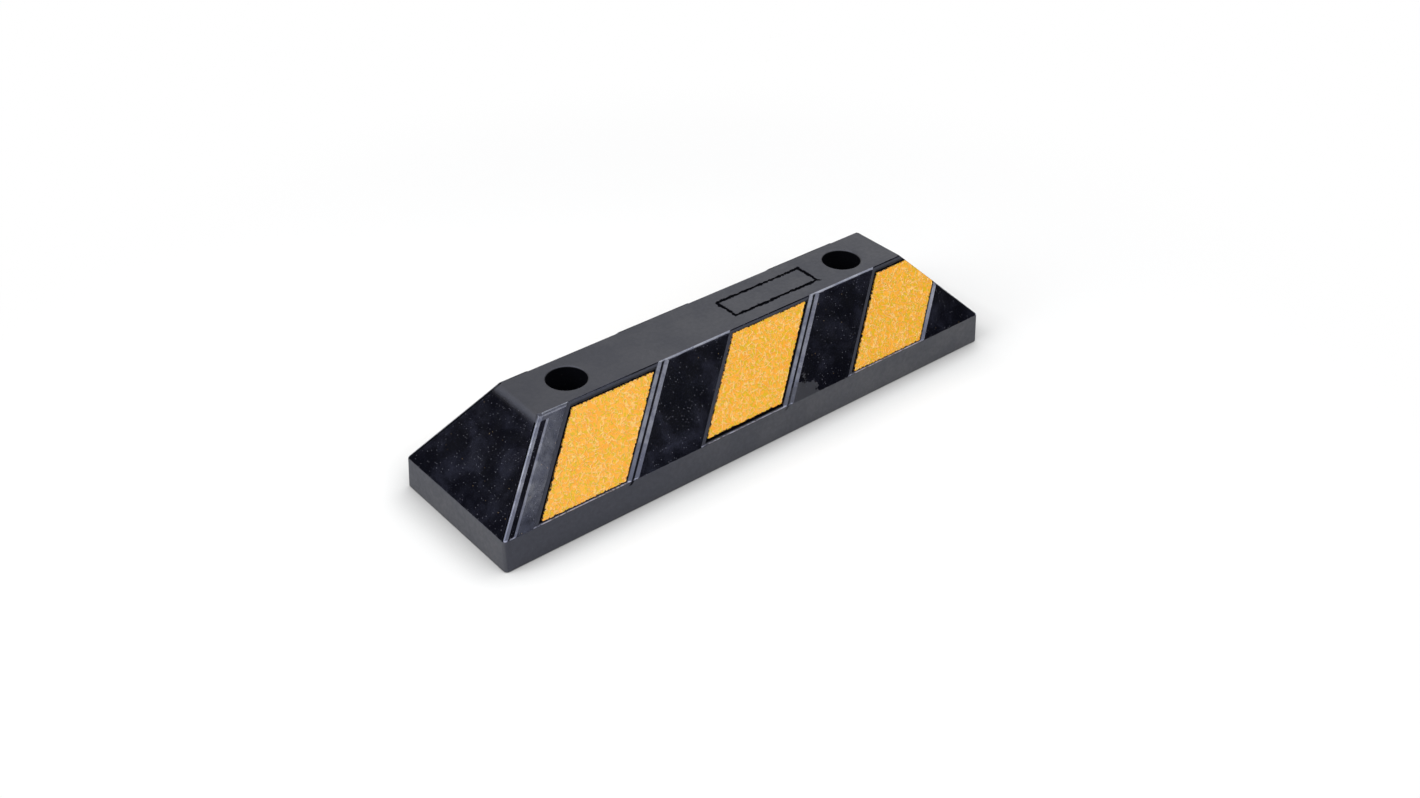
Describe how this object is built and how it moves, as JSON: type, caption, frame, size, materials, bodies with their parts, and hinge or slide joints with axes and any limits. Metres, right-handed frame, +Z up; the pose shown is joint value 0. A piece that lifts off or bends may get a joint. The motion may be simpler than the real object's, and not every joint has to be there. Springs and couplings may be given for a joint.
{
  "type": "parking wheel stop",
  "caption": "Black moulded rubber parking wheel stop with sloped faces, slanted yellow reflective films and counterbored anchor holes.",
  "frame": {"origin": "centre of the flat underside, at ground level", "axes": "+X along the stop, +Y across it towards the rear slope, +Z up; the front slope faces -Y"},
  "size_m": [0.55, 0.15, 0.1],
  "materials": {
    "rubber": "matte moulded rubber with polished lands and end slopes",
    "reflective_film": "embossed retroreflective film, orange-yellow",
    "washer_steel": "plain zinc-coated steel"
  },
  "bodies": {
    "root": {"rubber_body": "rubber", "reflective_film_front_left": "reflective_film", "reflective_film_front_middle": "reflective_film", "reflective_film_front_right": "reflective_film", "reflective_film_rear_left": "reflective_film", "reflective_film_rear_middle": "reflective_film", "reflective_film_rear_right": "reflective_film", "load_washer_left": "washer_steel", "load_washer_right": "washer_steel"}
  },
  "joints": []
}
